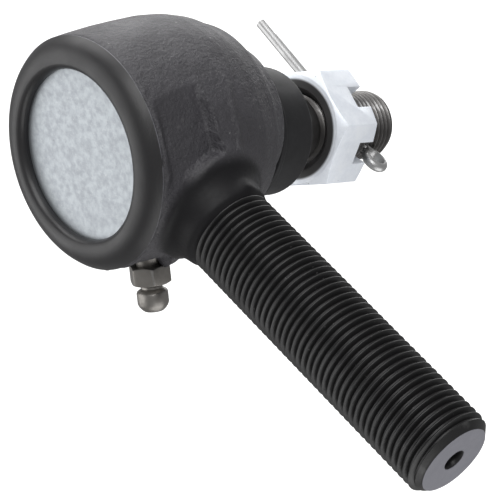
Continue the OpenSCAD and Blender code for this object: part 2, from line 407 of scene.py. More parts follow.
class Graph:
    """Adds and wires nodes in one tree."""

    def __init__(self, tree):
        self.tree = tree

    def node(self, kind, **settings):
        made = self.tree.nodes.new(kind)
        for key, value in settings.items():
            if key.startswith("in_"):
                made.inputs[key[3:].replace("_", " ")].default_value = value
            else:
                setattr(made, key, value)
        return made

    def wire(self, source, target):
        self.tree.links.new(source, target)

    def math(self, operation, a, b=None):
        made = self.tree.nodes.new("ShaderNodeMath")
        made.operation = operation
        for index, value in enumerate((a, b)):
            if value is None:
                continue
            if isinstance(value, (int, float)):
                made.inputs[index].default_value = value
            else:
                self.wire(value, made.inputs[index])
        return made.outputs[0]

    def ramp(self, source, low, high, out_low=0.0, out_high=1.0):
        made = self.tree.nodes.new("ShaderNodeMapRange")
        made.interpolation_type = "SMOOTHSTEP"
        self.wire(source, made.inputs["Value"])
        made.inputs["From Min"].default_value = low
        made.inputs["From Max"].default_value = high
        made.inputs["To Min"].default_value = out_low
        made.inputs["To Max"].default_value = out_high
        return made.outputs["Result"]

    def noise(self, place, scale, detail=3.0, roughness=0.55):
        made = self.tree.nodes.new("ShaderNodeTexNoise")
        made.inputs["Detail"].default_value = detail
        made.inputs["Roughness"].default_value = roughness
        self.wire(place, made.inputs["Vector"])
        if isinstance(scale, (int, float)):
            made.inputs["Scale"].default_value = scale
        else:
            self.wire(scale, made.inputs["Scale"])
        return made.outputs["Fac"]

    def mix(self, factor, a, b, blend="MIX"):
        made = self.tree.nodes.new("ShaderNodeMix")
        made.data_type = "RGBA"
        made.blend_type = blend
        if isinstance(factor, (int, float)):
            made.inputs["Factor"].default_value = factor
        else:
            self.wire(factor, made.inputs["Factor"])
        for label, value in (("A", a), ("B", b)):
            socket = [s for s in made.inputs if s.name == label and s.type == "RGBA"][0]
            if isinstance(value, tuple):
                socket.default_value = value
            else:
                self.wire(value, socket)
        return [s for s in made.outputs if s.type == "RGBA"][0]

    def object_normal(self):
        return self.node("ShaderNodeTexCoord").outputs["Normal"]

    def dot(self, vector, direction):
        node = self.node("ShaderNodeVectorMath", operation="DOT_PRODUCT")
        self.wire(vector, node.inputs[0])
        node.inputs[1].default_value = direction
        return node.outputs["Value"]

    def split(self, vector):
        made = self.node("ShaderNodeSeparateXYZ")
        self.wire(vector, made.inputs[0])
        return made.outputs

    def off_axis(self, place, direction):
        """Distance of a place from the line through the origin along a unit direction."""
        cross = self.node("ShaderNodeVectorMath", operation="CROSS_PRODUCT")
        self.wire(place, cross.inputs[0])
        cross.inputs[1].default_value = direction
        length = self.node("ShaderNodeVectorMath", operation="LENGTH")
        self.wire(cross.outputs["Vector"], length.inputs[0])
        return length.outputs["Value"]

    def object_place(self):
        return self.tree.nodes.new("ShaderNodeTexCoord").outputs["Object"]


def make_forged_grain():
    """Coarse scale pits and fine grit of a forged surface."""
    group, start, end = new_group(
        "forged_grain",
        [("Place", "NodeSocketVector", (0, 0, 0)), ("Scale", "NodeSocketFloat", 900.0)],
        [("Height", "NodeSocketFloat"), ("Tone", "NodeSocketFloat")],
    )
    g = Graph(group)
    place = start.outputs["Place"]
    fine = g.noise(place, start.outputs["Scale"], 4.0, 0.6)
    coarse_scale = g.math("MULTIPLY", start.outputs["Scale"], 0.28)
    coarse = g.noise(place, coarse_scale, 3.0, 0.5)
    wide_scale = g.math("MULTIPLY", start.outputs["Scale"], 0.07)
    wide = g.noise(place, wide_scale, 2.0, 0.5)
    height = g.math("ADD", g.math("MULTIPLY", fine, 0.45), g.math("MULTIPLY", coarse, 0.55))
    g.wire(height, end.inputs["Height"])
    tone = g.math("ADD", g.math("MULTIPLY", fine, 0.4), g.math("MULTIPLY", wide, 0.6))
    g.wire(tone, end.inputs["Tone"])
    return group


def make_specks():
    """Sparse small bright specks, such as handling nicks through a dark finish."""
    group, start, end = new_group(
        "specks",
        [("Place", "NodeSocketVector", (0, 0, 0)), ("Scale", "NodeSocketFloat", 700.0),
         ("Amount", "NodeSocketFloat", 0.5)],
        [("Mask", "NodeSocketFloat")],
    )
    g = Graph(group)
    place = start.outputs["Place"]
    dots = g.noise(place, start.outputs["Scale"], 2.0, 0.5)
    patches = g.noise(place, g.math("MULTIPLY", start.outputs["Scale"], 0.16), 1.0, 0.5)
    spots = g.ramp(dots, 0.7, 0.76)
    where = g.ramp(patches, 0.5, 0.62)
    mask = g.math("MULTIPLY", g.math("MULTIPLY", spots, where), start.outputs["Amount"])
    g.wire(mask, end.inputs["Mask"])
    return group


def make_turning_lines():
    """Fine rings left by a cutting tool, about the Z axis of the place it is given."""
    group, start, end = new_group(
        "turning_lines",
        [("Place", "NodeSocketVector", (0, 0, 0)), ("Pitch", "NodeSocketFloat", 0.0002)],
        [("Height", "NodeSocketFloat")],
    )
    g = Graph(group)
    x, y, z = g.split(start.outputs["Place"])
    radius = g.math("SQRT", g.math("ADD", g.math("MULTIPLY", x, x), g.math("MULTIPLY", y, y)))
    along = g.math("SUBTRACT", radius, z)
    phase = g.math("DIVIDE", along, start.outputs["Pitch"])
    wave = g.math("SINE", g.math("MULTIPLY", phase, 2 * math.pi))
    uneven = g.noise(start.outputs["Place"], 260.0, 2.0, 0.5)
    g.wire(g.math("MULTIPLY", wave, uneven), end.inputs["Height"])
    return group


def make_edge_wear():
    """Rubbed edges: where the surface is sharply convex."""
    group, start, end = new_group(
        "edge_wear",
        [("Place", "NodeSocketVector", (0, 0, 0)), ("Low", "NodeSocketFloat", 0.53),
         ("High", "NodeSocketFloat", 0.6)],
        [("Mask", "NodeSocketFloat")],
    )
    g = Graph(group)
    shape = g.node("ShaderNodeNewGeometry")
    edge = g.node("ShaderNodeMapRange", interpolation_type="SMOOTHSTEP")
    g.wire(shape.outputs["Pointiness"], edge.inputs["Value"])
    g.wire(start.outputs["Low"], edge.inputs["From Min"])
    g.wire(start.outputs["High"], edge.inputs["From Max"])
    broken = g.ramp(g.noise(start.outputs["Place"], 420.0, 3.0, 0.6), 0.35, 0.6)
    g.wire(g.math("MULTIPLY", edge.outputs["Result"], broken), end.inputs["Mask"])
    return group


def make_mottle():
    """Soft cloudy patches with fine scratches, as on handled zinc plate."""
    group, start, end = new_group(
        "mottle",
        [("Place", "NodeSocketVector", (0, 0, 0)), ("Scale", "NodeSocketFloat", 120.0)],
        [("Clouds", "NodeSocketFloat"), ("Scratches", "NodeSocketFloat")],
    )
    g = Graph(group)
    place = start.outputs["Place"]
    clouds = g.noise(place, start.outputs["Scale"], 4.0, 0.65)
    g.wire(clouds, end.inputs["Clouds"])
    stretch = g.node("ShaderNodeMapping", vector_type="POINT")
    stretch.inputs["Rotation"].default_value = (0.3, 0.5, 0.9)
    stretch.inputs["Scale"].default_value = (1.0, 14.0, 14.0)
    g.wire(place, stretch.inputs["Vector"])
    lines = g.noise(stretch.outputs["Vector"], g.math("MULTIPLY", start.outputs["Scale"], 1.6), 3.0, 0.6)
    g.wire(g.ramp(lines, 0.62, 0.74), end.inputs["Scratches"])
    return group


GROUPS = {
    "forged_grain": make_forged_grain(),
    "specks": make_specks(),
    "turning_lines": make_turning_lines(),
    "edge_wear": make_edge_wear(),
    "mottle": make_mottle(),
}


def material_start(name):
    material = bpy.data.materials.new(name)
    material.use_nodes = True
    tree = material.node_tree
    tree.nodes.clear()
    output = tree.nodes.new("ShaderNodeOutputMaterial")
    shader = tree.nodes.new("ShaderNodeBsdfPrincipled")
    tree.links.new(shader.outputs["BSDF"], output.inputs["Surface"])
    return material, Graph(tree), shader


def effect(g, name, place, **values):
    made = g.tree.nodes.new("ShaderNodeGroup")
    made.node_tree = GROUPS[name]
    g.wire(place, made.inputs["Place"])
    for key, value in values.items():
        made.inputs[key].default_value = value
    return made


def bump(g, shader, height, strength, distance):
    made = g.tree.nodes.new("ShaderNodeBump")
    made.inputs["Strength"].default_value = strength
    made.inputs["Distance"].default_value = distance
    g.wire(height, made.inputs["Height"])
    g.wire(made.outputs["Normal"], shader.inputs["Normal"])


def shade(value, tint=(1.0, 1.0, 1.0)):
    return (value * tint[0], value * tint[1], value * tint[2], 1.0)


# ---------------------------------------------------------------- materials

OXIDE = (1.0, 0.96, 1.1)                 # tint of black oxide
SAWN = (0.98, 0.98, 1.12)                # tint of the shank's sawn end


def black_forging():
    """Black oxide over a rough forged skin with nicked edges; the neck and its corner are smooth."""
    material, g, shader = material_start("black_forging")
    place = g.object_place()
    grain = effect(g, "forged_grain", place, Scale=1500.0)
    specks = effect(g, "specks", place, Scale=900.0, Amount=0.5)
    wear = effect(g, "edge_wear", place, Low=0.54, High=0.66)
    base = g.mix(grain.outputs["Tone"], shade(0.018, (1.0, 0.95, 1.1)), shade(0.06, OXIDE))
    worn = g.mix(g.math("MULTIPLY", wear.outputs["Mask"], 0.25), base, shade(0.16))
    flecked = g.mix(specks.outputs["Mask"], worn, shade(0.3))
    x, y, z = g.split(place)
    off_axis = g.math("SQRT", g.math("ADD", g.math("MULTIPLY", y, y), g.math("MULTIPLY", z, z)))
    rough_skin = g.math(
        "MAXIMUM", g.ramp(x, DRUM_R - 3.5 * MM, DRUM_R - 0.5 * MM, 1.0, 0.0),
        g.ramp(off_axis, SHANK_R + 2.5 * MM, SHANK_R + 5 * MM),
    )
    smooth_skin = g.mix(grain.outputs["Tone"], shade(0.004, OXIDE), shade(0.011, OXIDE))
    g.wire(g.mix(rough_skin, smooth_skin, flecked), shader.inputs["Base Color"])
    g.wire(g.ramp(rough_skin, 0.0, 1.0, 0.2, 0.5), shader.inputs["Specular IOR Level"])
    g.wire(g.ramp(grain.outputs["Tone"], 0.3, 0.7, 0.6, 0.46), shader.inputs["Roughness"])
    depth = g.math("ADD", g.math("MULTIPLY", rough_skin, 0.9), 0.1)
    relief = g.math("MULTIPLY", grain.outputs["Height"], depth)
    bump(g, shader, relief, 1.0, 0.7 * MM)
    return material


def black_turned():
    """Black oxide over a turned surface: smoother, with fine tool rings and a bright outer edge."""
    material, g, shader = material_start("black_turned")
    place = g.object_place()
    rings = effect(g, "turning_lines", place, Pitch=0.00035)
    clouds = effect(g, "mottle", place, Scale=90.0)
    base = g.mix(clouds.outputs["Clouds"], shade(0.007, (1.0, 0.96, 1.04)), shade(0.02, (1.0, 0.96, 1.04)))
    near_edge = g.ramp(g.split(place)["Z"], RIM_EDGE_Z + 0.02 * MM, RIM_EDGE_Z + 0.22 * MM, 1.0, 0.0)
    patchy = g.ramp(g.noise(place, 260.0, 4.0, 0.6), 0.3, 0.62)
    bright = g.math("MULTIPLY", near_edge, patchy)
    edged = g.mix(g.math("MULTIPLY", bright, 0.7), base, shade(0.2, (0.98, 0.98, 1.1)))
    g.wire(edged, shader.inputs["Base Color"])
    g.wire(g.ramp(clouds.outputs["Clouds"], 0.3, 0.7, 0.44, 0.34), shader.inputs["Roughness"])
    shader.inputs["Specular IOR Level"].default_value = 0.45
    bump(g, shader, rings.outputs["Height"], 0.18, 0.05 * MM)
    return material


def black_thread():
    """Black oxide over a rolled thread, with a greyer sawn end."""
    material, g, shader = material_start("black_thread")
    place = g.object_place()
    clouds = effect(g, "mottle", place, Scale=160.0)
    wear = effect(g, "edge_wear", place, Low=0.52, High=0.62)
    specks = effect(g, "specks", place, Scale=1100.0, Amount=0.35)
    base = g.mix(clouds.outputs["Clouds"], shade(0.003), shade(0.012, (1.0, 0.97, 1.05)))
    worn = g.mix(g.math("MULTIPLY", wear.outputs["Mask"], 0.2), base, shade(0.14))
    flecked = g.mix(specks.outputs["Mask"], worn, shade(0.25))
    cut_face = g.ramp(g.split(place)["X"], SHANK_END - 0.12 * MM, SHANK_END - 0.05 * MM)
    cut = g.mix(clouds.outputs["Clouds"], shade(0.16, SAWN), shade(0.23, SAWN))
    g.wire(g.mix(cut_face, flecked, cut), shader.inputs["Base Color"])
    g.wire(g.ramp(clouds.outputs["Clouds"], 0.3, 0.7, 0.46, 0.36), shader.inputs["Roughness"])
    shader.inputs["Specular IOR Level"].default_value = 0.45
    bump(g, shader, clouds.outputs["Clouds"], 0.12, 0.1 * MM)
    return material


def zinc(name, light, dark, roughness, scale=90.0, metallic=0.75, scratch=0.35, painted_shade_face=False):
    """Zinc plate: bluish, cloudy, finely scratched; the face towards the ball may carry painted shade, a dark
    ring standing in for its shadow and the boot's reflection.
    """
    material, g, shader = material_start(name)
    place = g.object_place()
    clouds = effect(g, "mottle", place, Scale=scale)
    specks = effect(g, "specks", place, Scale=1300.0, Amount=0.6)
    base = g.mix(g.ramp(clouds.outputs["Clouds"], 0.3, 0.7), dark, light)
    marked = g.mix(g.math("MULTIPLY", clouds.outputs["Scratches"], scratch), base, shade(0.75))
    dotted = g.mix(specks.outputs["Mask"], marked, shade(0.12))
    if painted_shade_face:
        # painted shade: faces turned towards the ball, inside the washer face's outer edge, are darkened to
        # stand in for their shadow and the dark boot reflected in them
        toward_ball = g.dot(g.object_normal(), tuple(-DOWN))
        near_bore = g.ramp(g.off_axis(place, tuple(DOWN)), NUT_R - 1.7 * MM, NUT_R - 1.0 * MM, 1.0, 0.0)
        painted_shade = g.math("MULTIPLY", g.ramp(toward_ball, 0.45, 0.7), near_bore)
        dotted = g.mix(painted_shade, dotted, shade(0.045, (1.0, 0.98, 1.0)))
    g.wire(dotted, shader.inputs["Base Color"])
    g.wire(
        g.ramp(clouds.outputs["Clouds"], 0.3, 0.7, roughness + 0.08, roughness - 0.06),
        shader.inputs["Roughness"],
    )
    shader.inputs["Metallic"].default_value = metallic
    bump(g, shader, clouds.outputs["Clouds"], 0.1, 0.08 * MM)
    return material


def plain_steel(name, light, dark, roughness, metallic=0.9):
    """Machined steel with faint clouding and rubbed edges."""
    material, g, shader = material_start(name)
    place = g.object_place()
    clouds = effect(g, "mottle", place, Scale=200.0)
    wear = effect(g, "edge_wear", place, Low=0.52, High=0.6)
    base = g.mix(clouds.outputs["Clouds"], dark, light)
    worn = g.mix(g.math("MULTIPLY", wear.outputs["Mask"], 0.4), base, shade(0.5))
    g.wire(worn, shader.inputs["Base Color"])
    g.wire(
        g.ramp(clouds.outputs["Clouds"], 0.3, 0.7, roughness + 0.06, roughness - 0.05),
        shader.inputs["Roughness"],
    )
    shader.inputs["Metallic"].default_value = metallic
    bump(g, shader, clouds.outputs["Clouds"], 0.1, 0.05 * MM)
    return material


def moulded_rubber():
    """Black moulded rubber with a dusty bloom."""
    material, g, shader = material_start("moulded_rubber")
    place = g.object_place()
    grain = effect(g, "forged_grain", place, Scale=2600.0)
    clouds = effect(g, "mottle", place, Scale=110.0)
    base = g.mix(clouds.outputs["Clouds"], shade(0.01), shade(0.026, (0.98, 0.98, 1.08)))
    g.wire(base, shader.inputs["Base Color"])
    g.wire(g.ramp(clouds.outputs["Clouds"], 0.3, 0.7, 0.6, 0.5), shader.inputs["Roughness"])
    shader.inputs["Metallic"].default_value = 0.0
    shader.inputs["Specular IOR Level"].default_value = 0.2
    bump(g, shader, grain.outputs["Height"], 0.1, 0.1 * MM)
    return material


MATERIALS = {
    "forging": black_forging(),
    "turned": black_turned(),
    "thread": black_thread(),
    "cap": zinc("zinc_cap", shade(0.4, (0.93, 1.0, 1.05)), shade(0.345, (0.94, 1.0, 1.07)), 0.46, 700.0,
                scratch=0.6),
    # the nut's face towards the ball carries painted shade, a dark ring standing in for shadow and reflection
    "nut": zinc("zinc_nut", shade(0.96, (0.96, 1.0, 1.06)), shade(0.84, (0.95, 1.0, 1.08)), 0.34, 240.0, 0.25,
                painted_shade_face=True),
    "pin": zinc("zinc_pin", shade(0.5), shade(0.36), 0.38, 150.0, 0.8, 0.2),
    "stud": plain_steel("oiled_steel", shade(0.17, (1.03, 1.0, 0.98)), shade(0.07, (1.05, 1.0, 0.97)), 0.34),
    "ring": plain_steel("phosphated_ring", shade(0.12), shade(0.06), 0.45, 0.6),
    "fitting": plain_steel("dull_zinc", shade(0.34, (1.04, 1.0, 0.95)), shade(0.14, (1.08, 1.0, 0.9)), 0.38),
    "inner_steel": plain_steel("inner_steel", shade(0.45), shade(0.3), 0.3),
    "bearing": plain_steel("bearing_bronze", shade(0.5, (1.1, 0.8, 0.42)), shade(0.3, (1.1, 0.78, 0.4)), 0.4),
    "rubber": moulded_rubber(),
}

# ---------------------------------------------------------------- housing


def drum_section():
    """Half section of the forged drum, from the mouth round to just under the turned rim."""
    points = [
        (0.0, -SHOULDER_Z),
        (15.1 * MM, -SHOULDER_Z),
        (15.6 * MM, -SHOULDER_Z + 0.3 * MM),
        (16.6 * MM, -SHOULDER_Z + 2.6 * MM),
        (18.2 * MM, -SHOULDER_Z + 5.6 * MM),
        (18.7 * MM, -SHOULDER_Z + 6.3 * MM),
        (20.7 * MM, -SHOULDER_Z + 6.8 * MM),
        (21.1 * MM, -SHOULDER_Z + 7.4 * MM),
        (DRUM_R - 3.2 * MM, -SHOULDER_Z + 9.8 * MM),
        (DRUM_R - 1.6 * MM, -SHOULDER_Z + 13.1 * MM),
        (DRUM_R - 0.5 * MM, -SHOULDER_Z + 17.3 * MM),
        (DRUM_R, -5 * MM),
        (DRUM_R, 1 * MM),
        (DRUM_R - 0.1 * MM, 6 * MM),
        (DRUM_R - 0.4 * MM, 11 * MM),
        (RIM_EDGE_R + 0.15 * MM, RIM_EDGE_Z - 0.7 * MM),
        (RIM_EDGE_R - 0.3 * MM, RIM_EDGE_Z - 0.05 * MM),
        (RIM_EDGE_R - 1.6 * MM, RIM_EDGE_Z + 0.4 * MM),
        (0.0, RIM_EDGE_Z + 0.4 * MM),
    ]
    return points


def neck_section():
    """Half section of the neck, drawn along +Z before it is laid along the shank."""
    start = DRUM_R
    return [
        (0.0, 0.0),
        (DRUM_R * 0.6, 0.0),
        (DRUM_R * 0.6, start - 5 * MM),
        (SHANK_R + 4.2 * MM, start - 2.2 * MM),
        (SHANK_R + 2.0 * MM, start - 0.2 * MM),
        (SHANK_R + 1.0 * MM, start + 1.8 * MM),
        (SHANK_R + 0.7 * MM, start + 3.4 * MM),
        (SHANK_R + 0.45 * MM, SHANK_THREAD_START - 0.9 * MM),
        (SHANK_R - 0.5 * MM, SHANK_THREAD_START + 0.1 * MM),
        (SHANK_R - 1.1 * MM, SHANK_THREAD_START + 0.9 * MM),
        (0.0, SHANK_THREAD_START + 0.9 * MM),
    ]


def ease(value, low, high):
    """Smooth step from 0 at low to 1 at high."""
    t = min(max((value - low) / (high - low), 0.0), 1.0)
    return t * t * (3 - 2 * t)


def wavy(turn):
    """Irregular wobble of a trimmed edge round the drum, within 1 mm."""
    return 0.45 * MM * math.sin(turn * 7.0 + 0.6) + 0.3 * MM * math.sin(turn * 17.0 + 2.0)


def press_in_forging_marks(obj):
    """Moves the forging's skin: flats beside the shank, flash lines, the fitting's boss and a lump."""
    flat_turn = math.radians(42)
    flat_reach = DRUM_R - 2.2 * MM
    flat_top = 14.2 * MM
    flash_high, flash_low = 0.8 * MM, -5.2 * MM
    boss_height = 1.7 * MM
    lump_x, lump_z, lump_height = 29.3 * MM, -1.8 * MM, 0.75 * MM
    for vertex in obj.data.vertices:
        p = vertex.co
        radius = math.hypot(p.x, p.y)
        if radius < 16 * MM:
            continue
        outward = Vector((p.x / radius, p.y / radius, 0.0))
        turn = math.atan2(p.y, p.x)
        side = 1 if turn > 0 else -1
        on_drum = 1 - ease(radius, DRUM_R + 0.6 * MM, DRUM_R + 1.4 * MM)
        on_drum *= ease(math.hypot(p.y, p.z), SHANK_R + 2.5 * MM, SHANK_R + 5 * MM)
        facing = radius * math.cos(turn - side * flat_turn)
        over = facing - flat_reach
        wobble = wavy(turn)
        if over > 0:
            above = ease(p.z, flash_high - 0.5 * MM + wobble, flash_high + 0.5 * MM + wobble)
            below_rim = 1 - ease(p.z, 12.0 * MM, 14.3 * MM)
            normal = Vector((math.cos(side * flat_turn), math.sin(side * flat_turn), 0.0))
            vertex.co -= normal * (over * above * below_rim * 0.95 * on_drum)
        top_edge = math.exp(-((p.z - flat_top - 2 * wobble) / (0.8 * MM)) ** 2)
        beside_flat = 1 - ease(abs(turn - side * flat_turn), math.radians(26), math.radians(34))
        vertex.co += outward * (0.3 * MM * top_edge * beside_flat * on_drum)
        near_shank = 1 - ease(abs(turn), math.radians(50), math.radians(80))
        strip = ease(p.z, flash_low - 0.7 * MM - wobble, flash_low + 0.3 * MM - wobble)
        strip *= 1 - ease(p.z, flash_high - 0.5 * MM + wobble, flash_high + 0.4 * MM + wobble)
        ridge = math.exp(-((p.z - flash_low + wobble) / (0.7 * MM)) ** 2)
        ridge += math.exp(-((p.z - flash_high - wobble) / (0.6 * MM)) ** 2)
        lift = 0.2 * MM * strip + 0.36 * MM * ridge
        boss_gap = math.hypot((turn - FITTING_TURN) / math.radians(15), (p.z - FITTING_Z) / (6 * MM))
        boss = boss_height * (1 - ease(boss_gap, 0.7, 1.4))
        vertex.co += outward * ((lift * near_shank + boss) * on_drum)
        if p.x > 22 * MM and p.y > 4 * MM:
            bump_gap = math.hypot(p.x - lump_x, (p.z - lump_z) * 0.7)
            lump = math.exp(-(bump_gap / (1.5 * MM)) ** 2)
            vertex.co.y += lump_height * lump
    obj.data.update()


def make_forging():
    """The drum and neck as one forged body, bored for the ball, the seats and the grease fitting."""
    drum = turned("housing_forging", drum_section(), 96)
    neck = turned("neck", neck_section(), 96)
    turn_to_x(neck)
    carved(drum, neck, "UNION")
    applied(drum, "REMESH", mode="VOXEL", voxel_size=0.42 * MM)
    soften_neck_corner(drum)
    applied(drum, "SMOOTH", factor=0.5, iterations=3)
    press_in_forging_marks(drum)
    tool = turned("cavity", [
        (0.0, -SHOULDER_Z - 1 * MM),
        (14.72 * MM, -SHOULDER_Z - 1 * MM),
        (14.6 * MM, -SHOULDER_Z + 0.3 * MM),
        (10.6 * MM, -9 * MM),
        (LIP_BORE_R, -9 * MM),
        (LIP_BORE_R, RIM_EDGE_Z + 3 * MM),
        (0.0, RIM_EDGE_Z + 3 * MM),
    ], 96)
    carved(drum, tool)
    hole = cylinder("fitting_hole", 3.15 * MM, 16 * MM, DRUM_R + 2 * MM, 32, "X")
    onto_fitting(hole)
    carved(drum, hole)
    smooth(drum, 50)
    return finished(drum, "housing", MATERIALS["forging"], ["housing"])


def soften_neck_corner(obj):
    """Rounds the corner where the neck leaves the drum."""
    group = obj.vertex_groups.new(name="corner")
    for vertex in obj.data.vertices:
        p = vertex.co
        side = math.hypot(p.y, p.z)
        if p.x < 10 * MM or side > 20 * MM:
            continue
        weight = ease(p.x, 12 * MM, 18 * MM) * (1 - ease(side, 14 * MM, 19 * MM))
        weight *= 1 - ease(p.x, SHANK_THREAD_START - 4.5 * MM, SHANK_THREAD_START - 2.0 * MM)
        if weight > 0:
            group.add([vertex.index], weight, "REPLACE")
    applied(obj, "SMOOTH", factor=0.7, iterations=45, vertex_group="corner")


def make_rim():
    """The turned rim, its lip rolled over the cap."""
    points = [
        (LIP_BORE_R + 0.2 * MM, RIM_EDGE_Z - 2.4 * MM),
        (RIM_EDGE_R - 2.2 * MM, RIM_EDGE_Z - 2.4 * MM),
        (RIM_EDGE_R - 0.8 * MM, RIM_EDGE_Z - 0.5 * MM),
        (RIM_EDGE_R + 0.02 * MM, RIM_EDGE_Z - 0.05 * MM),
        (RIM_EDGE_R + 0.05 * MM, RIM_EDGE_Z + 0.08 * MM),
        (RIM_EDGE_R - 0.3 * MM, RIM_EDGE_Z + 0.6 * MM),
        (RIM_EDGE_R - 0.75 * MM, RIM_EDGE_Z + 1.2 * MM),
        (RIM_EDGE_R - 1.35 * MM, RIM_EDGE_Z + 1.8 * MM),
        (RIM_EDGE_R - 2.1 * MM, RIM_EDGE_Z + 2.35 * MM),
        (RIM_EDGE_R - 3.0 * MM, RIM_EDGE_Z + 2.75 * MM),
        (RIM_EDGE_R - 3.9 * MM, RIM_EDGE_Z + 3.0 * MM),
        (RIM_EDGE_R - 4.8 * MM, RIM_EDGE_Z + 3.1 * MM),
        (LIP_BORE_R + 1.1 * MM, RIM_EDGE_Z + 3.0 * MM),
        (LIP_BORE_R + 0.5 * MM, RIM_EDGE_Z + 2.7 * MM),
        (LIP_BORE_R + 0.05 * MM, RIM_EDGE_Z + 2.1 * MM),
        (LIP_BORE_R - 0.12 * MM, RIM_EDGE_Z + 1.4 * MM),
        (LIP_BORE_R - 0.1 * MM, CAP_FACE_Z + 0.25 * MM),
        (LIP_BORE_R + 0.1 * MM, CAP_FACE_Z + 0.02 * MM),
        (LIP_BORE_R + 0.2 * MM, CAP_FACE_Z - 0.02 * MM),
    ]
    rim = turned("turned_rim", points, 160)
    smooth(rim, 40)
    return finished(rim, "housing", MATERIALS["turned"], ["housing"])


def make_shank():
    """The threaded shank, with its chamfered end and centre hole."""
    chamfer = SHANK_R * 0.19
    end = SHANK_END - 0.02 * MM
    thread = helical_thread("shank_thread", SHANK_R, SHANK_PITCH, [
        (SHANK_R - 0.3 * MM, SHANK_THREAD_START - 1.6 * MM),
        (SHANK_R, SHANK_THREAD_START - 0.4 * MM),
        (SHANK_R, end - chamfer),
        (SHANK_R - chamfer, end),
    ])
    closed_end(thread, SHANK_THREAD_START - 1.6 * MM, [(2 * MM, SHANK_THREAD_START - 1.6 * MM)])
    closed_end(thread, end, [
        (2.45 * MM, end),
        (2.25 * MM, end - 0.25 * MM),
        (2.0 * MM, end - 1.1 * MM),
        (1.9 * MM, end - 5 * MM),
        (0.2 * MM, end - 6 * MM),
    ])
    turn_to_x(thread)
    smooth(thread, 40)
    return finished(thread, "housing", MATERIALS["thread"], ["housing"])


def make_cap():
    """The plated disc under the rolled lip."""
    cap = turned("end_cap_plate", [
        (0.0, CAP_BED_Z),
        (CAP_R - 0.3 * MM, CAP_BED_Z),
        (CAP_R, CAP_BED_Z + 0.3 * MM),
        (CAP_R, CAP_FACE_Z - 0.4 * MM),
        (CAP_R - 0.4 * MM, CAP_FACE_Z),
        (LIP_BORE_R - 1.2 * MM, CAP_FACE_Z),
        (LIP_BORE_R - 2.4 * MM, CAP_FACE_Z - 0.06 * MM),
        (6 * MM, CAP_FACE_Z - 0.1 * MM),
        (0.0, CAP_FACE_Z - 0.1 * MM),
    ], 128)
    smooth(cap, 30)
    return finished(cap, "housing", MATERIALS["cap"], ["end_cap"])


# ---------------------------------------------------------------- stud, nut and pin


def make_stud():
    """Ball, neck and taper turned in one piece, with the thread rolled on its end."""
    neck_top = math.sqrt(BALL_R ** 2 - NECK_R ** 2)
    taper_r = STUD_R + (TAPER_END_Z - FLARE_Z) / 16
    flat = math.degrees(math.asin(BALL_FLAT_Z / BALL_R))
    neck = -math.degrees(math.asin(neck_top / BALL_R))
    section = [(0.0, BALL_FLAT_Z)] + arc_points((0, 0), BALL_R, flat, neck, 22)
    section += [
        (NECK_R, -neck_top - 1.2 * MM),
        (NECK_R, -FLARE_Z + 1.3 * MM),
        (NECK_R + 0.4 * MM, -FLARE_Z + 0.9 * MM),
        (taper_r - 0.3 * MM, -FLARE_Z + 0.15 * MM),
        (taper_r, -FLARE_Z - 0.2 * MM),
        (STUD_R + 0.02 * MM, -TAPER_END_Z + 0.6 * MM),
        (STUD_R - 0.9 * MM, -TAPER_END_Z - 0.3 * MM),
        (STUD_R - 0.9 * MM, -TAPER_END_Z - 1.5 * MM),
        (0.0, -TAPER_END_Z - 1.5 * MM),
    ]
    stud = turned("ball_stud_body", section, 96)
    chamfer = 1.0 * MM
    thread = helical_thread("ball_stud_thread", STUD_R, STUD_PITCH, [
        (STUD_R - chamfer, -STUD_REACH + 0.02 * MM),
        (STUD_R, -STUD_REACH + chamfer),
        (STUD_R, -TAPER_END_Z - 0.9 * MM),
    ], 60)
    closed_end(thread, -STUD_REACH + 0.02 * MM, [(2 * MM, -STUD_REACH + 0.02 * MM)])
    closed_end(thread, -TAPER_END_Z - 0.9 * MM, [(2 * MM, -TAPER_END_Z - 0.9 * MM)])
    hole = cylinder("pin_hole", PIN_R + 0.2 * MM, -12 * MM, 12 * MM, 32, "X")
    hole.rotation_euler = (0, 0, PIN_TURN)
    hole.location = (0, 0, -PIN_HOLE_Z)
    settled(hole)
    carved(thread, hole)
    for piece in (stud, thread):
        onto_stud(piece)
        smooth(piece, 40)
        finished(piece, "stud", MATERIALS["stud"], ["ball_stud"])


def make_nut():
    """Slotted hexagon nut, chamfered on both faces."""
    corner = NUT_R / math.cos(math.radians(30))
    face_r = NUT_R - 0.4 * MM
    slope = math.tan(math.radians(30))
    reach = corner - face_r + 0.6 * MM
    top = -NUT_Z - NUT_H
    nut = cylinder("slotted_nut", corner, top - 1 * MM, -NUT_Z + 1 * MM, 6)
    nut.rotation_euler = (0, 0, NUT_TURN)
    settled(nut)
    cones = turned("cones", [
        (STUD_R + 1.6 * MM, -NUT_Z),
        (face_r, -NUT_Z),
        (face_r + reach, -NUT_Z - reach * slope),
        (face_r + reach, top + reach * slope),
        (face_r, top),
        (STUD_R + 0.9 * MM, top),
        (STUD_R + 0.06 * MM, top + 1.0 * MM),
        (STUD_R + 0.06 * MM, -NUT_Z - 1.5 * MM),
    ], 120)
    carved(nut, cones, "INTERSECT")
    for i in range(3):
        low = (-2 * NUT_R, -SLOT_W / 2, top - 2 * MM)
        slot = block("slot", low, (2 * NUT_R, SLOT_W / 2, top + SLOT_DEPTH))
        slot.rotation_euler = (0, 0, NUT_TURN + math.radians(60 * i))
        settled(slot)
        carved(nut, slot)
    tidy_normals(nut)
    rounded(nut, 0.22 * MM, 3, 28)
    onto_stud(nut)
    smooth(nut, 35)
    return finished(nut, "stud", MATERIALS["nut"], ["castle_nut"])


